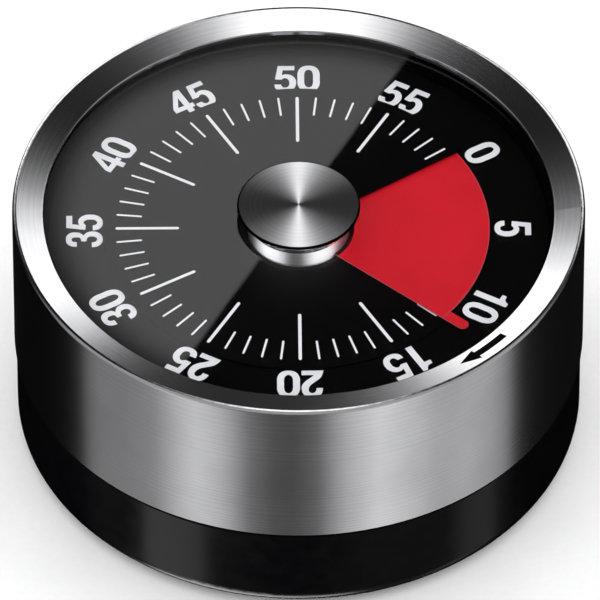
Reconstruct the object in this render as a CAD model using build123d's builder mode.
"""Mechanical sixty-minute kitchen timer with a magnetic base.

The steel ring, its lens and the knob turn together on the black base and wind a spring.
A gear train and a pin-pallet escapement let the spring run down, and a hammer strikes a bell.
A red disc, threaded through a slit in the dial, shows the time that is left.

Millimetres. The origin is the centre of the bottom, +Z is up and the 20-minute mark faces -Y.
Every piece stands at the setting of MINUTES_SET.
"""

import os
from math import acos, asin, cos, degrees, pi, radians, sin, tan

from build123d import *

# ---------------------------------------------------------------- driving dimensions: turning ring
SLEEVE_RADIUS = 40.0
RIM_HEIGHT = 39.9
SHEET = 0.8  # steel of the sleeve
SLEEVE_BOTTOM = 15.3
BEZEL_WIDTH = 4.35  # from the outside of the sleeve to the edge of the window
BEZEL_DROP = 1.0  # the bezel slopes down towards the window
BEZEL_LIP = 0.6
RIM_ROUND = 0.5
LENS_THICKNESS = 1.2
CARRIER_BEARING = 2.1  # thickness of the carrier where it runs on the tube
CARRIER_TOP_WALL = 1.2  # thickness of the carrier beside the retaining ring
WASHER_THICKNESS = 0.8
RETAINER_THICKNESS = 0.8
RETAINER_GROOVE = 0.7
RETAINER_BELOW_TOP = 3.8  # from the top of the tube down to the groove
RETAINER_OPENING = 12.0  # degrees

# ---------------------------------------------------------------- driving dimensions: base
BASE_INSET = 0.3  # the base is this much smaller in radius than the sleeve
BASE_WALL = 2.9
BASE_ROUND = 2.5
SHUT_GAP = 0.3  # between the sleeve and the base below it
SHOULDER_THICKNESS = 1.7
SHOULDER_HOLE = 25.5
TUBE_WALL = 1.8
TUBE_BELOW_LENS = 0.4
COVER_THICKNESS = 2.0
COVER_GAP = 0.2
SOUND_HOLE = 1.0
FOOT_INNER, FOOT_OUTER = 32.6, 35.6
FOOT_SEAT = 0.5
FOOT_PROUD = 0.6  # how far the rubber foot holds the base off the table
MAGNET_RADIUS, MAGNET_THICKNESS, MAGNET_CIRCLE = 6.5, 3.0, 27.5
MAGNET_POCKET = 1.2
MAGNETS = 4
COVER_SCREW_CIRCLE = 29.8
MOVEMENT_SCREW_CIRCLE = 28.0
SCREWS = 4
SCREW_RADIUS, SCREW_HEAD_RADIUS, SCREW_HEAD, SCREW_LENGTH = 1.2, 2.2, 1.2, 6.0
RECESS_LONG, RECESS_WIDE = 1.3, 0.25  # cross recess, in radii of the head
BOSS_RADIUS = 2.6

# ---------------------------------------------------------------- driving dimensions: dial and disc
PITCH = 0.8  # rise of the dial and of the time disc in one turn
DIAL_THICKNESS = 0.3
DIAL_BELOW_LENS = 2.5  # from the lens down to the numeral ring
DIAL_RIM_WIDTH, DIAL_RIM_DEPTH = 1.5, 0.9
DISC_THICKNESS = 0.2
DISC_RADIUS = 26.7
DISC_SPAN = 372.0  # degrees
DISC_TO_WALL = 0.25
RAMP_WALL = 0.35
POINTER_REACH = 30.4
POINTER_WIDTH = 1.6
SLIT_ANGLE = 33.0  # degrees from +X, half a minute before the zero mark
SLIT_WIDTH = 0.5  # degrees
ZERO_ANGLE = 30.0  # degrees from +X to the zero mark
MINUTES_SET = 69.642857 / 6.0  # what the pointer shows, a whole number of escape teeth past zero
TONGUE_ANGLES = (90.0, 210.0)  # behind the pointer, in degrees
TONGUE_WIDTH, TONGUE_DEPTH = 1.2, 0.6

# ---------------------------------------------------------------- driving dimensions: knob
KNOB_RADIUS = 8.6
KNOB_PROUD = 0.3  # above the rim
KNOB_TOP_THICKNESS = 0.5
KNOB_CHAMFER = 0.15
KNOB_SPIGOT_DEPTH = 1.2
NECK_RADIUS = 7.1
NECK_WALL = 1.7
NECK_UNDER_DIAL = 1.9
NECK_WEB = 1.8  # thickness of the knob's floor, which sits on the arbor
DIAL_HOLE_GAP = 0.5
KNOB_SEAT_RADIUS, KNOB_FLAT = 1.7, 0.4  # end of the arbor that carries the knob, and its flat
KNOB_SCREW_RADIUS, KNOB_SCREW_HEAD_RADIUS, KNOB_SCREW_LENGTH = 0.8, 1.6, 3.0

# ---------------------------------------------------------------- driving dimensions: movement
FIT = 0.05  # running clearance of pivots, on the radius
EASE = 0.15  # clearance of sliding pieces, on the radius
RUNNING_GAP = 0.2  # between the turning carrier and the tube of the base
PLATE_RADIUS, UPPER_PLATE_RADIUS = 30.5, 28.6
PLATE_THICKNESS = 1.0
PLATE_SPACING = 12.3  # free height between the two plates
PILLAR_RADIUS, PILLAR_TENON = 1.6, 0.9
PILLARS = ((26.4, 115.0), (26.0, 215.0), (26.0, -10.0))  # radius, angle
ARBOR_RADIUS, DRUM_RADIUS, PIVOT_RADIUS = 2.0, 3.0, 1.2
SMALL_ARBOR_RADIUS, SMALL_PIVOT_RADIUS = 0.7, 0.45
PRESSURE_ANGLE = 25.0
ADDENDUM, DEDENDUM = 0.8, 1.08  # in modules
BACKLASH = 0.04  # taken off each tooth
MAIN_TEETH, SECOND_TEETH, THIRD_TEETH, PINION_TEETH = 80, 70, 60, 10
MAIN_MODULE, TRAIN_MODULE = 0.4, 0.3
WHEEL_THICKNESS, PINION_HEIGHT = 0.8, 1.4
FIRST_ARBOR_ANGLE = 180.0
WHEEL_RIM, WHEEL_HUB, SPOKE = 1.5, 2.3, 1.1
CLIP_THICKNESS, CLIP_WIDTH = 0.4, 1.1
CLUTCH_SPAN, CLUTCH_HEIGHT, CLUTCH_SHEET = 6.0, 0.9, 0.25

# ---------------------------------------------------------------- driving dimensions: escapement
ESCAPE_TEETH = 15
ESCAPE_RADIUS, ESCAPE_ROOT = 5.0, 3.7
ESCAPE_TIP_HALF, ESCAPE_ROOT_HALF = 0.1, 0.34  # half widths of a tooth
PALLET_DISTANCE = 7.6
PALLET_HALF_SPAN = 30.0  # degrees either side of the line of centres
PIN_RADIUS, PIN_LENGTH = 0.25, 1.6
PIN_CLEARANCE = 0.08
PALLET_THICKNESS = 0.5
BALANCE_RADIUS, BALANCE_RIM, BALANCE_THICKNESS = 6.0, 1.0, 1.0

# ---------------------------------------------------------------- driving dimensions: spring and alarm
SPRING_HEIGHT, SPRING_STRIP = 4.4, 0.3
SPRING_STEP = 0.45  # growth of the radius in each half turn
SPRING_HALF_TURNS = 19
ANCHOR_RADIUS = 0.8
BELL_RADIUS, BELL_HEIGHT, BELL_WALL, BELL_ROUND = 20.4, 6.2, 0.8, 3.0
BELL_OVER_COVER = 1.6
BELL_POST_RADIUS, BELL_POST_FLANGE, BELL_POST_FLANGE_HEIGHT = 1.9, 3.6, 0.8
HAMMER_CIRCLE, HAMMER_ANGLE = 20.0, -60.0  # where the hammer's arbor stands
HAMMER_HEAD_ANGLE, HAMMER_HEAD_RADIUS, HAMMER_HEAD_HEIGHT = -100.0, 1.8, 4.4
HAMMER_GAP = 0.6  # head to bell
LEVER_THICKNESS, LEVER_WIDTH, LEVER_HUB = 0.8, 1.6, 1.7
CAM_RADIUS, CAM_LOBE, CAM_LOBE_ROUND = 4.4, 6.0, 0.8
CAM_THICKNESS = 1.0
TAIL_ANGLE, TAIL_GAP, TAIL_ROUND = -15.0, 0.9, 0.6
COIL_RADIUS, COIL_WIRE, COIL_PITCH, COIL_TURNS = 1.25, 0.15, 0.45, 4
COIL_LEG = 4.0

# ---------------------------------------------------------------- sizes worked out from them
window_radius = SLEEVE_RADIUS - BEZEL_WIDTH
sleeve_inner = SLEEVE_RADIUS - SHEET
window_z = RIM_HEIGHT - BEZEL_DROP
lens_top = window_z - BEZEL_LIP
lens_bottom = lens_top - LENS_THICKNESS
knob_top = RIM_HEIGHT + KNOB_PROUD
knob_under = knob_top - KNOB_TOP_THICKNESS

base_radius = SLEEVE_RADIUS - BASE_INSET
shoulder_top = SLEEVE_BOTTOM - SHUT_GAP
shoulder_bottom = shoulder_top - SHOULDER_THICKNESS
carrier_inner = sleeve_inner - CARRIER_BEARING
carrier_bottom = SLEEVE_BOTTOM + EASE
tube_outer = carrier_inner - RUNNING_GAP
tube_inner = tube_outer - TUBE_WALL
tube_top = lens_bottom - TUBE_BELOW_LENS
retainer_z = tube_top - RETAINER_BELOW_TOP
carrier_step = retainer_z - WASHER_THICKNESS
recess_radius = sleeve_inner - CARRIER_TOP_WALL
base_bottom = FOOT_PROUD
base_inner = base_radius - BASE_WALL
cover_top = base_bottom + COVER_THICKNESS
boss_top = shoulder_bottom

dial_low = lens_bottom - DIAL_BELOW_LENS
dial_radius = tube_inner - EASE
dial_seat = dial_low - DIAL_RIM_DEPTH
dial_hole = NECK_RADIUS + DIAL_HOLE_GAP
disc_gap = (PITCH - DIAL_THICKNESS - DISC_THICKNESS) / 2  # above the low lip and under the high lip
disc_inner = NECK_RADIUS + EASE
ramp_inner = DISC_RADIUS + DISC_TO_WALL
ramp_outer = ramp_inner + RAMP_WALL
pointer_angle = ZERO_ANGLE - 6.0 * MINUTES_SET  # degrees from +X
pointer_turn = SLIT_ANGLE - pointer_angle  # degrees clockwise from the slit
neck_bottom = dial_low - NECK_UNDER_DIAL
web_top = neck_bottom + NECK_WEB

plate_bottom = shoulder_top
plate_top = plate_bottom + PLATE_THICKNESS
upper_bottom = plate_top + PLATE_SPACING
upper_top = upper_bottom + PLATE_THICKNESS
spring_level = plate_top + 0.6
escape_level = plate_top + 3.0
main_level = plate_top + 6.0
second_level = main_level + 2.2
third_level = second_level + 2.0
balance_level = second_level
cam_level = upper_top + 0.6

first_distance = MAIN_MODULE * (MAIN_TEETH + PINION_TEETH) / 2
second_distance = TRAIN_MODULE * (SECOND_TEETH + PINION_TEETH) / 2
third_distance = TRAIN_MODULE * (THIRD_TEETH + PINION_TEETH) / 2

bell_bottom = cover_top + BELL_OVER_COVER
bell_top = bell_bottom + BELL_HEIGHT
lever_level = (bell_top + plate_bottom - LEVER_THICKNESS) / 2
head_circle = BELL_RADIUS - BELL_WALL - HAMMER_GAP - HAMMER_HEAD_RADIUS


# ---------------------------------------------------------------- geometry helpers
def polar(radius, angle, centre=(0.0, 0.0)):
    """Point at this distance and angle (degrees) from a centre."""
    return (centre[0] + radius * cos(radians(angle)), centre[1] + radius * sin(radians(angle)))


def direction(start, end):
    """Angle in degrees of the line from one point to another."""
    line = Vector(end[0] - start[0], end[1] - start[1])
    return line.get_signed_angle(Vector(1, 0), Vector(0, 0, -1))


def chord_angle(distance):
    """Angle at the centre between two arbors of the train that stand this far apart."""
    return 2 * degrees(asin(distance / first_distance / 2))


second_turn = FIRST_ARBOR_ANGLE
third_turn = second_turn - chord_angle(second_distance)
escape_turn = third_turn - chord_angle(third_distance)
pallet_turn = escape_turn - chord_angle(PALLET_DISTANCE)
second_at = polar(first_distance, second_turn)
third_at = polar(first_distance, third_turn)
escape_at = polar(first_distance, escape_turn)
pallet_at = polar(first_distance, pallet_turn)
hammer_at = polar(HAMMER_CIRCLE, HAMMER_ANGLE)
head_at = polar(head_circle, HAMMER_HEAD_ANGLE)
tail_at = polar(CAM_LOBE + TAIL_GAP + TAIL_ROUND, TAIL_ANGLE)
pillar_points = [polar(radius, angle) for radius, angle in PILLARS]
spring_start = DRUM_RADIUS + EASE + SPRING_STRIP / 2
anchor_circle = spring_start + SPRING_STEP * SPRING_HALF_TURNS + SPRING_STRIP / 2 + ANCHOR_RADIUS
anchor_at = polar(anchor_circle, 180.0 * SPRING_HALF_TURNS)
train_points = [second_at, third_at, escape_at, pallet_at]


# ---------------------------------------------------------------- shapes that are used more than once
def rod(radius, bottom, top, at=(0.0, 0.0)):
    """Round rod along Z."""
    with BuildSketch(Plane.XY.offset(bottom)) as section:
        with Locations(at):
            Circle(radius)
    extrude(section.sketch, amount=top - bottom)


def ring(inner, outer, bottom, top, at=(0.0, 0.0)):
    """Plain ring about a vertical axis."""
    with BuildSketch(Plane.XY.offset(bottom)) as section:
        with Locations(at):
            Circle(outer)
            Circle(inner, mode=Mode.SUBTRACT)
    extrude(section.sketch, amount=top - bottom)


def drill(radius, points, bottom=-RIM_HEIGHT, depth=3 * RIM_HEIGHT):
    """Round holes at a list of points, right through the piece unless a depth is given."""
    with BuildSketch(Plane.XY.offset(bottom)) as section:
        with Locations(*points):
            Circle(radius)
    extrude(section.sketch, amount=depth, mode=Mode.SUBTRACT)


def bar(start, end, width, bottom, thickness):
    """Flat bar with round ends, from one point to another."""
    middle = ((start[0] + end[0]) / 2, (start[1] + end[1]) / 2)
    length = Vector(end[0] - start[0], end[1] - start[1]).length
    with BuildSketch(Plane.XY.offset(bottom)) as section:
        with Locations(Location((middle[0], middle[1], 0), direction(start, end))):
            SlotCenterToCenter(length, width)
    extrude(section.sketch, amount=thickness)


def screw(at, face, radius, head_radius, length, way=1):
    """Pan-head screws whose heads show their face at this height; way is +1 or -1 along Z."""
    for point in at:
        rod(head_radius, face, face + way * SCREW_HEAD, point)
        rod(radius, face + way * SCREW_HEAD, face + way * (SCREW_HEAD + length), point)
    with BuildSketch(Plane.XY.offset(face)) as recess:
        with Locations(*at):
            Rectangle(head_radius * RECESS_LONG, head_radius * RECESS_WIDE)
            Rectangle(head_radius * RECESS_WIDE, head_radius * RECESS_LONG)
    extrude(recess.sketch, amount=way * SCREW_HEAD / 2, mode=Mode.SUBTRACT)


def tooth_half_angle(radius, teeth, module):
    """Half the angle that a tooth takes at a radius, for an involute flank, in degrees."""
    pitch_radius = module * teeth / 2
    base = pitch_radius * cos(radians(PRESSURE_ANGLE))
    local = acos(min(1.0, base / radius))
    involute = tan(radians(PRESSURE_ANGLE)) - radians(PRESSURE_ANGLE)
    return degrees((pi * module / 2 - BACKLASH) / (2 * pitch_radius) + involute - tan(local) + local)


def gear(at, teeth, module, first_tooth, bottom, thickness):
    """Spur gear with a tooth centred on the direction first_tooth (degrees)."""
    pitch_radius = module * teeth / 2
    tip, root = pitch_radius + ADDENDUM * module, pitch_radius - DEDENDUM * module
    start = max(pitch_radius * cos(radians(PRESSURE_ANGLE)), root)
    middle = (start + tip) / 2
    step = 360.0 / teeth
    low, mid, high = (tooth_half_angle(r, teeth, module) for r in (start, middle, tip))
    with BuildSketch(Plane(origin=(at[0], at[1], bottom))) as section:
        with BuildLine():
            for n in range(teeth):
                here = first_tooth + n * step
                gap = here + step / 2
                end = here + step - low
                ThreePointArc(polar(start, here - low), polar(middle, here - mid), polar(tip, here - high))
                ThreePointArc(polar(tip, here - high), polar(tip, here), polar(tip, here + high))
                ThreePointArc(polar(tip, here + high), polar(middle, here + mid), polar(start, here + low))
                if start > root:
                    Line(polar(start, here + low), polar(root, here + low))
                    Line(polar(root, end), polar(start, end))
                ThreePointArc(polar(root, here + low), polar(root, gap), polar(root, end))
        make_face()
    extrude(section.sketch, amount=thickness)


def wheel(at, teeth, module, first_tooth, bottom, bore, hub, spokes):
    """Clock wheel: a toothed rim on spokes round a hub."""
    gear(at, teeth, module, first_tooth, bottom, WHEEL_THICKNESS)
    rim = module * teeth / 2 - DEDENDUM * module - WHEEL_RIM
    with BuildSketch(Plane.XY.offset(bottom)) as windows:
        with Locations(at):
            Circle(rim)
            Circle(hub, mode=Mode.SUBTRACT)
            with PolarLocations(rim / 2, spokes):
                Rectangle(rim, SPOKE, mode=Mode.SUBTRACT)
    extrude(windows.sketch, amount=WHEEL_THICKNESS, mode=Mode.SUBTRACT)
    drill(bore, [at])


def staff(at):
    """Thin steel arbor with a pivot in each plate."""
    rod(SMALL_PIVOT_RADIUS, plate_bottom, upper_top, at)
    rod(SMALL_ARBOR_RADIUS, plate_top + EASE, upper_bottom - EASE, at)


def pinion(at, module, first_tooth, level):
    """Ten leaves cut on an arbor, a little taller than the wheel that drives them."""
    overlap = (PINION_HEIGHT - WHEEL_THICKNESS) / 2
    gear(at, PINION_TEETH, module, first_tooth, level - overlap, PINION_HEIGHT)


def helicoid(inner, outer, first, last, level, thickness):
    """Thin sheet that climbs clockwise with the pitch, from angle first to last past the slit."""
    height = PITCH * (last - first) / 360.0
    rise = PITCH * first / 360.0
    edges = [
        Edge.make_helix(PITCH, height, radius, lefthand=True).rotate(Axis.Z, SLIT_ANGLE - first)
        for radius in (inner, outer)
    ]
    sheet = Face.make_surface_from_curves(edges[0], edges[1]).moved(Pos(0, 0, level + rise))
    return Solid.extrude(sheet, Vector(0, 0, thickness))


def circles(piece, radius):
    """Round edges of this radius, from the lowest up."""
    rounds = piece.edges().filter_by(GeomType.CIRCLE)
    return rounds.filter_by(lambda edge: abs(edge.radius - radius) < 0.01).sort_by(Axis.Z)


def save(piece, name):
    """Labels a finished piece and writes it to the parts folder."""
    piece.part.label = name
    export_step(piece.part, f"parts/{name}.step")


os.makedirs("parts", exist_ok=True)

# ================================================================ base
# One moulding: a skirt, a shoulder that carries the movement, and a tube that the ring turns on.
with BuildPart() as base_cup:
    with BuildSketch(Plane.XZ):
        with BuildLine():
            Polyline(
                (base_inner, base_bottom),
                (base_radius, base_bottom),
                (base_radius, shoulder_top),
                (tube_outer, shoulder_top),
                (tube_outer, retainer_z),
                (tube_outer - RETAINER_GROOVE, retainer_z),
                (tube_outer - RETAINER_GROOVE, retainer_z + RETAINER_THICKNESS),
                (tube_outer, retainer_z + RETAINER_THICKNESS),
                (tube_outer, tube_top),
                (tube_inner, tube_top),
                (tube_inner, dial_seat),
                (tube_inner - DIAL_RIM_WIDTH, dial_seat),
                (tube_inner - DIAL_RIM_WIDTH, dial_seat - TUBE_WALL / 2),
                (tube_inner, dial_seat - TUBE_WALL * 1.5),
                (tube_inner, shoulder_top),
                (SHOULDER_HOLE, shoulder_top),
                (SHOULDER_HOLE, shoulder_bottom),
                (base_inner, shoulder_bottom),
                close=True,
            )
        make_face()
    revolve(axis=Axis.Z)
    fillet(circles(base_cup, base_radius)[0], BASE_ROUND)
    fillet(circles(base_cup, base_radius)[-1], RIM_ROUND)
    with BuildSketch(Plane.XY.offset(cover_top)):
        with PolarLocations(COVER_SCREW_CIRCLE, SCREWS):
            Circle(BOSS_RADIUS)
    extrude(amount=boss_top - cover_top)
    with BuildSketch(Plane.XY.offset(cover_top)):
        with PolarLocations(COVER_SCREW_CIRCLE, SCREWS):
            Circle(SCREW_RADIUS)
    extrude(amount=SCREW_LENGTH + RIM_ROUND, mode=Mode.SUBTRACT)
    with BuildSketch(Plane.XY.offset(shoulder_bottom)):
        with PolarLocations(MOVEMENT_SCREW_CIRCLE, SCREWS, start_angle=45):
            Circle(SCREW_RADIUS)
    extrude(amount=SHOULDER_THICKNESS, mode=Mode.SUBTRACT)
save(base_cup, "base_cup")

cover_radius = base_inner - COVER_GAP
counterbore = SCREW_HEAD + 0.1
magnet_points = [polar(MAGNET_CIRCLE, 45.0 + n * 360.0 / MAGNETS) for n in range(MAGNETS)]
cover_screw_points = [polar(COVER_SCREW_CIRCLE, n * 360.0 / SCREWS) for n in range(SCREWS)]
sound_hole_points = [polar(BELL_RADIUS / 2, n * 60.0) for n in range(6)]
movement_screw_points = [polar(MOVEMENT_SCREW_CIRCLE, 45.0 + n * 360.0 / SCREWS) for n in range(SCREWS)]
with BuildPart() as back_cover:
    rod(cover_radius, base_bottom, cover_top)
    with BuildSketch(Plane.XY.offset(base_bottom)):
        Circle(FOOT_OUTER)
        Circle(FOOT_INNER, mode=Mode.SUBTRACT)
    extrude(amount=FOOT_SEAT, mode=Mode.SUBTRACT)
    with BuildSketch(Plane.XY.offset(cover_top)):
        with Locations(*magnet_points):
            Circle(MAGNET_RADIUS + FIT)
    extrude(amount=-MAGNET_POCKET, mode=Mode.SUBTRACT)
    with BuildSketch(Plane.XY.offset(base_bottom)):
        with Locations(*cover_screw_points):
            Circle(SCREW_HEAD_RADIUS + EASE)
    extrude(amount=counterbore, mode=Mode.SUBTRACT)
    drill(SCREW_RADIUS, cover_screw_points)
    drill(SOUND_HOLE, sound_hole_points)
save(back_cover, "back_cover")

with BuildPart() as foot_ring:
    ring(FOOT_INNER + EASE, FOOT_OUTER - EASE, 0.0, base_bottom + FOOT_SEAT)
    fillet(foot_ring.edges().group_by(Axis.Z)[0], FOOT_PROUD / 2)
save(foot_ring, "foot_ring")

with BuildPart() as magnets:
    for place in magnet_points:
        rod(MAGNET_RADIUS, cover_top - MAGNET_POCKET, cover_top - MAGNET_POCKET + MAGNET_THICKNESS, place)
    chamfer(magnets.edges().group_by(Axis.Z)[-1], EASE)
save(magnets, "magnets")

with BuildPart() as cover_screws:
    screw_face = base_bottom + counterbore - SCREW_HEAD
    screw(cover_screw_points, screw_face, SCREW_RADIUS, SCREW_HEAD_RADIUS, SCREW_LENGTH)
save(cover_screws, "cover_screws")

with BuildPart() as movement_screws:
    screw(movement_screw_points, shoulder_bottom - SCREW_HEAD, SCREW_RADIUS, SCREW_HEAD_RADIUS,
          SHOULDER_THICKNESS + PLATE_THICKNESS)
save(movement_screws, "movement_screws")

# ================================================================ turning ring
# Drawn steel: one sheet whose top is folded in as the sloping bezel.
with BuildPart() as ring_sleeve:
    with BuildSketch(Plane.XZ):
        with BuildLine():
            Polyline(
                (SLEEVE_RADIUS, SLEEVE_BOTTOM),
                (SLEEVE_RADIUS, RIM_HEIGHT),
                (window_radius, window_z),
                (window_radius, lens_top),
                (window_radius + SHEET, lens_top),
                (sleeve_inner, RIM_HEIGHT - SHEET - RIM_ROUND / 2),
                (sleeve_inner, SLEEVE_BOTTOM),
                close=True,
            )
        make_face()
    revolve(axis=Axis.Z)
    corner = ring_sleeve.edges().filter_by(GeomType.CIRCLE).sort_by(Axis.Z)[-1]
    fillet(corner, RIM_ROUND)
    fillet(circles(ring_sleeve, window_radius)[-1], SHEET / 4)
save(ring_sleeve, "ring_sleeve")

with BuildPart() as ring_carrier:
    ring(carrier_inner, sleeve_inner, carrier_bottom, lens_bottom)
    ring(carrier_inner, recess_radius, carrier_step, lens_bottom)
    with BuildSketch(Plane.XY.offset(carrier_step)):
        Circle(recess_radius)
    extrude(amount=lens_bottom - carrier_step, mode=Mode.SUBTRACT)
save(ring_carrier, "ring_carrier")

with BuildPart() as lens:
    ring(NECK_RADIUS + FIT, sleeve_inner - EASE, lens_bottom, lens_top)
save(lens, "lens")

with BuildPart() as slip_washer:
    ring(tube_outer + EASE, recess_radius - EASE, carrier_step, retainer_z)
save(slip_washer, "slip_washer")

with BuildPart() as retaining_ring:
    ring(tube_outer - RETAINER_GROOVE, recess_radius - 2 * EASE, retainer_z, retainer_z + RETAINER_THICKNESS)
    with BuildSketch(Plane.XY.offset(retainer_z)):
        with BuildLine():
            far = SLEEVE_RADIUS / cos(radians(RETAINER_OPENING / 2))
            side = RETAINER_OPENING / 2
            Polyline((0, 0), polar(far, 90 - side), polar(far, 90 + side), close=True)
        make_face()
    extrude(amount=RETAINER_THICKNESS, mode=Mode.SUBTRACT)
save(retaining_ring, "retaining_ring")

# ================================================================ dial and time disc
# The ramp of the dial climbs one pitch from one side of the slit round to the other.
dial_end = 360.0 - SLIT_WIDTH
dial_ramp = helicoid(dial_hole, ramp_outer, 0.0, dial_end, dial_low, -DIAL_THICKNESS)
dial_wall = helicoid(ramp_inner, ramp_outer, 0.0, dial_end, dial_low, -PITCH - DIAL_THICKNESS)
with BuildPart() as dial_plate:
    add(dial_wall)
    with BuildSketch(Plane.XY.offset(dial_low - DIAL_THICKNESS)):
        Circle(dial_radius)
    extrude(amount=-2 * PITCH, mode=Mode.SUBTRACT)
    add(dial_ramp)
    ring(ramp_inner, dial_radius, dial_low - DIAL_THICKNESS, dial_low)
    ring(dial_radius - DIAL_RIM_WIDTH, dial_radius, dial_seat, dial_low)
save(dial_plate, "dial_plate")

# The disc: a thin sheet with the pitch of the dial and a pointer on its leading edge.
disc_level = dial_low + disc_gap
lead = degrees(asin(POINTER_WIDTH / 2 / disc_inner)) + 1.0
tail_turn = pointer_turn - DISC_SPAN


def disc_film(inner, outer, first, last):
    """Stretch of the disc's film between two radii and two angles past the slit."""
    return helicoid(inner, outer, first, last, disc_level, DISC_THICKNESS)


disc_sheet = disc_film(disc_inner, DISC_RADIUS, tail_turn, pointer_turn)
lead_sheet = disc_film(disc_inner, POINTER_REACH, pointer_turn, pointer_turn + lead)
tab_sheet = disc_film(DISC_RADIUS, POINTER_REACH, pointer_turn - lead, pointer_turn)
tab_end = POINTER_REACH - POINTER_WIDTH / 2
with BuildPart() as time_disc:
    add(lead_sheet)
    add(tab_sheet)
    with BuildSketch(Plane.XY.offset(dial_low - PITCH)):
        with Locations(Location(polar(tab_end / 2, pointer_angle) + (0.0,), pointer_angle)):
            SlotCenterToCenter(tab_end, POINTER_WIDTH)
    extrude(amount=4 * PITCH, mode=Mode.INTERSECT)
    add(disc_sheet)
    for behind in TONGUE_ANGLES:
        turn = pointer_turn - behind
        tongue_z = disc_level + PITCH * turn / 360.0
        place = polar(disc_inner, pointer_angle + behind)
        with BuildSketch(Plane(origin=(0, 0, tongue_z))):
            with Locations(Location(place + (0.0,), pointer_angle + behind)):
                Rectangle(2 * TONGUE_DEPTH, TONGUE_WIDTH)
        extrude(amount=DISC_THICKNESS)
save(time_disc, "time_disc")

# ================================================================ knob
arbor_top = web_top - EASE


def knob_seat(radius, bottom, top, mode):
    """Round seat with one flat, which keeps the knob from slipping on the arbor."""
    with BuildSketch(Plane.XY.offset(bottom)) as seat:
        Circle(radius)
        with Locations((0, radius - KNOB_FLAT)):
            Rectangle(2 * radius, 2 * radius, align=(Align.CENTER, Align.MIN), mode=Mode.SUBTRACT)
    extrude(seat.sketch, amount=top - bottom, mode=mode)


with BuildPart() as knob_core:
    rod(NECK_RADIUS, neck_bottom, knob_under)
    drill(NECK_RADIUS - NECK_WALL, [(0, 0)], web_top)
    knob_seat(KNOB_SEAT_RADIUS, neck_bottom, web_top, Mode.SUBTRACT)
    for behind in TONGUE_ANGLES:
        groove = pointer_angle + behind
        full_turn = 360.0 + SLIT_ANGLE - ZERO_ANGLE
        highest = dial_low + PITCH * (full_turn - behind) / 360.0 + DISC_THICKNESS + 2 * disc_gap
        with BuildSketch(Plane.XY.offset(neck_bottom)):
            with Locations(Location(polar(NECK_RADIUS, groove) + (0.0,), groove)):
                Rectangle(2 * TONGUE_DEPTH, TONGUE_WIDTH + 2 * EASE)
        extrude(amount=highest - neck_bottom, mode=Mode.SUBTRACT)
save(knob_core, "knob_core")

with BuildPart() as knob_cap:
    rod(KNOB_RADIUS, knob_under, knob_top)
    chamfer(knob_cap.edges().filter_by(GeomType.CIRCLE), KNOB_CHAMFER)
    rod(NECK_RADIUS - NECK_WALL, knob_under - KNOB_SPIGOT_DEPTH, knob_under)
save(knob_cap, "knob_cap")

with BuildPart() as knob_screw:
    knob_screw_face = web_top + SCREW_HEAD
    screw([(0.0, 0.0)], knob_screw_face, KNOB_SCREW_RADIUS, KNOB_SCREW_HEAD_RADIUS, KNOB_SCREW_LENGTH, -1)
save(knob_screw, "knob_screw")

# ================================================================ movement: plates and pillars
with BuildPart() as lower_plate:
    rod(PLATE_RADIUS, plate_bottom, plate_top)
    drill(PIVOT_RADIUS + FIT, [(0, 0)])
    drill(SMALL_PIVOT_RADIUS + FIT, train_points)
    drill(SMALL_ARBOR_RADIUS + FIT, [hammer_at])
    drill(PILLAR_TENON, pillar_points)
    drill(SCREW_RADIUS, movement_screw_points)
save(lower_plate, "lower_plate")

with BuildPart() as upper_plate:
    rod(UPPER_PLATE_RADIUS, upper_bottom, upper_top)
    drill(ARBOR_RADIUS + FIT, [(0, 0)])
    drill(SMALL_PIVOT_RADIUS + FIT, train_points)
    drill(SMALL_ARBOR_RADIUS + FIT, [hammer_at])
    drill(PILLAR_TENON, pillar_points)
save(upper_plate, "upper_plate")

with BuildPart() as pillars:
    for place in pillar_points:
        rod(PILLAR_RADIUS, plate_top, upper_bottom, place)
        rod(PILLAR_TENON, plate_bottom, upper_top, place)
save(pillars, "pillars")

# ================================================================ movement: spring and main wheel
with BuildPart() as main_arbor:
    rod(PIVOT_RADIUS, plate_bottom + FIT, plate_top + EASE)
    rod(DRUM_RADIUS, plate_top + EASE, main_level)
    rod(ARBOR_RADIUS, main_level, neck_bottom)
    knob_seat(KNOB_SEAT_RADIUS, neck_bottom, arbor_top, Mode.ADD)
    drill(KNOB_SCREW_RADIUS, [(0, 0)], web_top - KNOB_SCREW_LENGTH, KNOB_SCREW_LENGTH)
save(main_arbor, "main_arbor")

with BuildPart() as main_wheel:
    wheel((0.0, 0.0), MAIN_TEETH, MAIN_MODULE, second_turn, main_level, ARBOR_RADIUS, CLUTCH_SPAN + EASE, 5)
save(main_wheel, "main_wheel")

clutch_bottom = main_level + WHEEL_THICKNESS
with BuildPart() as clutch_spring:
    with BuildSketch(Plane.XZ):
        with BuildLine():
            Polyline(
                (CLUTCH_SPAN, clutch_bottom),
                (CLUTCH_SPAN, clutch_bottom + CLUTCH_SHEET),
                (ARBOR_RADIUS, clutch_bottom + CLUTCH_HEIGHT),
                (ARBOR_RADIUS, clutch_bottom + CLUTCH_HEIGHT - CLUTCH_SHEET),
                close=True,
            )
        make_face()
    revolve(axis=Axis.Z)
    with BuildSketch(Plane.XY.offset(clutch_bottom)):
        with PolarLocations(CLUTCH_SPAN, 3):
            Rectangle(CLUTCH_SPAN, CLUTCH_SPAN / 3)
    extrude(amount=CLUTCH_HEIGHT, mode=Mode.SUBTRACT)
save(clutch_spring, "clutch_spring")

with BuildPart() as clutch_clip:
    clip_z = clutch_bottom + CLUTCH_HEIGHT
    ring(ARBOR_RADIUS, ARBOR_RADIUS + CLIP_WIDTH, clip_z, clip_z + CLIP_THICKNESS)
save(clutch_clip, "clutch_clip")


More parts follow.
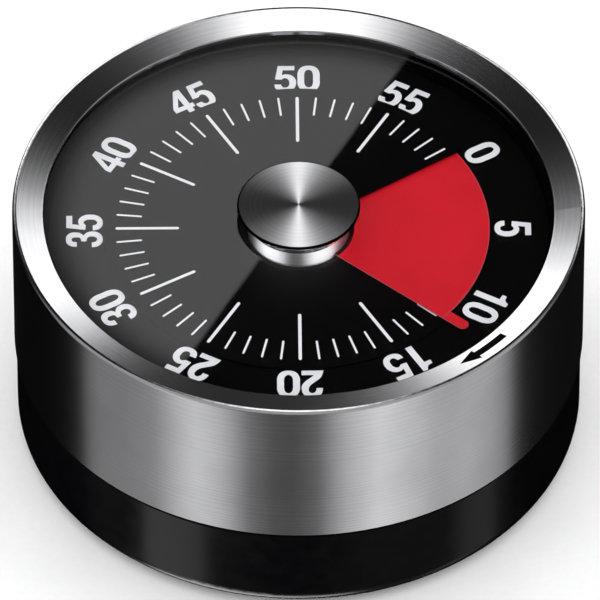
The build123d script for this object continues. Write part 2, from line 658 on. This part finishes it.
def spiral_side(shift):
    """One side of the mainspring's strip, in half turns about two centres."""
    for n in range(SPRING_HALF_TURNS):
        near = spring_start + SPRING_STEP * n + shift
        far = near + SPRING_STEP
        turn = 180.0 * n
        middle = polar((near + far) / 2, turn + 90.0, polar((near - far) / 2, turn))
        ThreePointArc(polar(near, turn), middle, polar(far, turn + 180.0))


with BuildPart() as mainspring:
    with BuildSketch(Plane.XY.offset(spring_level)):
        with BuildLine() as strip:
            half = SPRING_STRIP / 2
            outer_end = spring_start + SPRING_STEP * SPRING_HALF_TURNS
            last_turn = 180.0 * SPRING_HALF_TURNS
            spiral_side(-half)
            spiral_side(half)
            Line(polar(spring_start - half, 0.0), polar(spring_start + half, 0.0))
            Line(polar(outer_end - half, last_turn), polar(outer_end + half, last_turn))
        make_face()
    extrude(amount=SPRING_HEIGHT)
save(mainspring, "mainspring")

with BuildPart() as spring_anchor:
    rod(ANCHOR_RADIUS, plate_top, spring_level + SPRING_HEIGHT, anchor_at)
save(spring_anchor, "spring_anchor")

# ================================================================ movement: train and escapement
to_third = direction(second_at, third_at)
to_escape = direction(third_at, escape_at)
to_pallet = direction(escape_at, pallet_at)
half_leaf = 180.0 / PINION_TEETH

with BuildPart() as second_arbor:
    staff(second_at)
    pinion(second_at, MAIN_MODULE, second_turn + 180.0 + half_leaf, main_level)
save(second_arbor, "second_arbor")

with BuildPart() as second_wheel:
    wheel(second_at, SECOND_TEETH, TRAIN_MODULE, to_third, second_level, SMALL_ARBOR_RADIUS, WHEEL_HUB, 5)
save(second_wheel, "second_wheel")

with BuildPart() as third_arbor:
    staff(third_at)
    pinion(third_at, TRAIN_MODULE, to_third + 180.0 + half_leaf, second_level)
save(third_arbor, "third_arbor")

with BuildPart() as third_wheel:
    wheel(third_at, THIRD_TEETH, TRAIN_MODULE, to_escape, third_level, SMALL_ARBOR_RADIUS, WHEEL_HUB, 4)
save(third_wheel, "third_wheel")

with BuildPart() as escape_arbor:
    staff(escape_at)
    pinion(escape_at, TRAIN_MODULE, to_escape + 180.0 + half_leaf, third_level)
save(escape_arbor, "escape_arbor")

# With a gap on the line of centres, both pins find room at the two ends of the lever's swing.
escape_step = 360.0 / ESCAPE_TEETH
root_half = degrees(ESCAPE_ROOT_HALF / ESCAPE_ROOT)
tip_half = degrees(ESCAPE_TIP_HALF / ESCAPE_RADIUS)
with BuildPart() as escape_wheel:
    with BuildSketch(Plane(origin=escape_at + (escape_level,))):
        with BuildLine():
            for n in range(ESCAPE_TEETH):
                here = to_pallet + (n + 0.5) * escape_step
                foot = polar(ESCAPE_ROOT, here + root_half)
                following = polar(ESCAPE_ROOT, here + escape_step - root_half)
                Polyline(
                    polar(ESCAPE_ROOT, here - root_half),
                    polar(ESCAPE_RADIUS, here - tip_half),
                    polar(ESCAPE_RADIUS, here + tip_half),
                    foot,
                )
                ThreePointArc(foot, polar(ESCAPE_ROOT, here + escape_step / 2), following)
        make_face()
        Circle(SMALL_ARBOR_RADIUS, mode=Mode.SUBTRACT)
        with PolarLocations(ESCAPE_ROOT / 2 + SMALL_ARBOR_RADIUS / 2, 5):
            Circle(SMALL_ARBOR_RADIUS, mode=Mode.SUBTRACT)
    extrude(amount=WHEEL_THICKNESS)
save(escape_wheel, "escape_wheel")

with BuildPart() as pallet_arbor:
    staff(pallet_at)
save(pallet_arbor, "pallet_arbor")

pin_circle = ESCAPE_RADIUS + PIN_RADIUS + PIN_CLEARANCE
pin_points = [polar(pin_circle, to_pallet + side * PALLET_HALF_SPAN, escape_at) for side in (-1, 1)]
lever_bottom = escape_level + WHEEL_THICKNESS + 2 * EASE
with BuildPart() as pallet_lever:
    for place in pin_points:
        bar(pallet_at, place, 4 * PIN_RADIUS, lever_bottom, PALLET_THICKNESS)
        rod(PIN_RADIUS, lever_bottom - PIN_LENGTH, lever_bottom, place)
    rod(SMALL_ARBOR_RADIUS + PALLET_THICKNESS, lever_bottom, lever_bottom + 2 * PALLET_THICKNESS, pallet_at)
    drill(SMALL_ARBOR_RADIUS, [pallet_at])
save(pallet_lever, "pallet_lever")

with BuildPart() as balance:
    balance_top = balance_level + BALANCE_THICKNESS
    ring(BALANCE_RADIUS - BALANCE_RIM, BALANCE_RADIUS, balance_level, balance_top, pallet_at)
    for turn in (to_pallet, to_pallet + 180.0):
        spoke_end = polar(BALANCE_RADIUS - BALANCE_RIM / 2, turn, pallet_at)
        bar(pallet_at, spoke_end, BALANCE_RIM, balance_level, BALANCE_THICKNESS)
    rod(SMALL_ARBOR_RADIUS + PALLET_THICKNESS, balance_level, balance_top, pallet_at)
    drill(SMALL_ARBOR_RADIUS, [pallet_at])
save(balance, "balance")

# ================================================================ alarm
with BuildPart() as alarm_cam:
    with BuildSketch(Plane.XY.offset(cam_level)):
        with BuildLine():
            lobe_turn = pointer_angle + 180.0
            rise = degrees(acos((CAM_RADIUS - CAM_LOBE_ROUND) / (CAM_LOBE - CAM_LOBE_ROUND)))
            lobe_centre = polar(CAM_LOBE - CAM_LOBE_ROUND, lobe_turn)
            first = polar(CAM_RADIUS, lobe_turn + rise)
            last = polar(CAM_RADIUS, lobe_turn - rise)
            first_lobe = polar(CAM_LOBE_ROUND, lobe_turn + rise, lobe_centre)
            last_lobe = polar(CAM_LOBE_ROUND, lobe_turn - rise, lobe_centre)
            ThreePointArc(first, polar(CAM_RADIUS, lobe_turn + 180.0), last)
            Line(last, last_lobe)
            ThreePointArc(last_lobe, polar(CAM_LOBE, lobe_turn), first_lobe)
            Line(first_lobe, first)
        make_face()
        Circle(ARBOR_RADIUS, mode=Mode.SUBTRACT)
    extrude(amount=CAM_THICKNESS)
save(alarm_cam, "alarm_cam")

tail_top = cam_level + LEVER_THICKNESS
coil_bottom = tail_top + 2 * EASE + COIL_WIRE
coil_height = COIL_PITCH * COIL_TURNS
with BuildPart() as hammer_arbor:
    rod(SMALL_ARBOR_RADIUS, lever_level, coil_bottom + coil_height + COIL_WIRE, hammer_at)
save(hammer_arbor, "hammer_arbor")

with BuildPart() as hammer_lever:
    bar(hammer_at, head_at, LEVER_WIDTH, lever_level, LEVER_THICKNESS)
    rod(LEVER_HUB, lever_level, lever_level + LEVER_THICKNESS, hammer_at)
    rod(HAMMER_HEAD_RADIUS, lever_level - HAMMER_HEAD_HEIGHT, lever_level + LEVER_THICKNESS, head_at)
    drill(SMALL_ARBOR_RADIUS, [hammer_at])
save(hammer_lever, "hammer_lever")

with BuildPart() as trip_lever:
    bar(hammer_at, tail_at, 2 * TAIL_ROUND, cam_level, LEVER_THICKNESS)
    rod(LEVER_HUB, cam_level, tail_top, hammer_at)
    drill(SMALL_ARBOR_RADIUS, [hammer_at])
save(trip_lever, "trip_lever")

coil_start = (hammer_at[0] + COIL_RADIUS, hammer_at[1], coil_bottom)
leg_end = (coil_start[0] + COIL_LEG, coil_start[1])
with BuildPart() as hammer_spring:
    with BuildLine():
        coil = Helix(COIL_PITCH, coil_height, COIL_RADIUS, center=hammer_at + (coil_bottom,))
    with BuildSketch(Plane(origin=coil @ 0, z_dir=coil % 0)):
        Circle(COIL_WIRE)
    sweep()
    with BuildSketch(Plane(origin=coil_start, z_dir=(1, 0, 0))):
        Circle(COIL_WIRE)
    extrude(amount=COIL_LEG)
save(hammer_spring, "hammer_spring")

with BuildPart() as spring_pin:
    rod(3 * COIL_WIRE, upper_top, coil_bottom + 3 * COIL_WIRE, (leg_end[0], leg_end[1] + 4 * COIL_WIRE))
save(spring_pin, "spring_pin")

with BuildPart() as bell:
    with BuildSketch(Plane.XZ):
        with BuildLine():
            Polyline(
                (SCREW_RADIUS, bell_bottom),
                (BELL_RADIUS, bell_bottom),
                (BELL_RADIUS, bell_top),
                (BELL_RADIUS - BELL_WALL, bell_top),
                (BELL_RADIUS - BELL_WALL, bell_bottom + BELL_WALL),
                (SCREW_RADIUS, bell_bottom + BELL_WALL),
                close=True,
            )
        make_face()
    revolve(axis=Axis.Z)
    fillet(circles(bell, BELL_RADIUS)[0], BELL_ROUND)
    fillet(circles(bell, BELL_RADIUS - BELL_WALL)[0], BELL_ROUND - BELL_WALL)
save(bell, "bell")

with BuildPart() as bell_post:
    rod(BELL_POST_RADIUS, bell_bottom + BELL_WALL, plate_bottom)
    rod(BELL_POST_FLANGE, plate_bottom - BELL_POST_FLANGE_HEIGHT, plate_bottom)
    drill(SCREW_RADIUS, [(0, 0)], bell_bottom, SCREW_LENGTH)
save(bell_post, "bell_post")

with BuildPart() as bell_screw:
    screw([(0.0, 0.0)], bell_bottom - SCREW_HEAD, SCREW_RADIUS, SCREW_HEAD_RADIUS, SCREW_LENGTH)
save(bell_screw, "bell_screw")
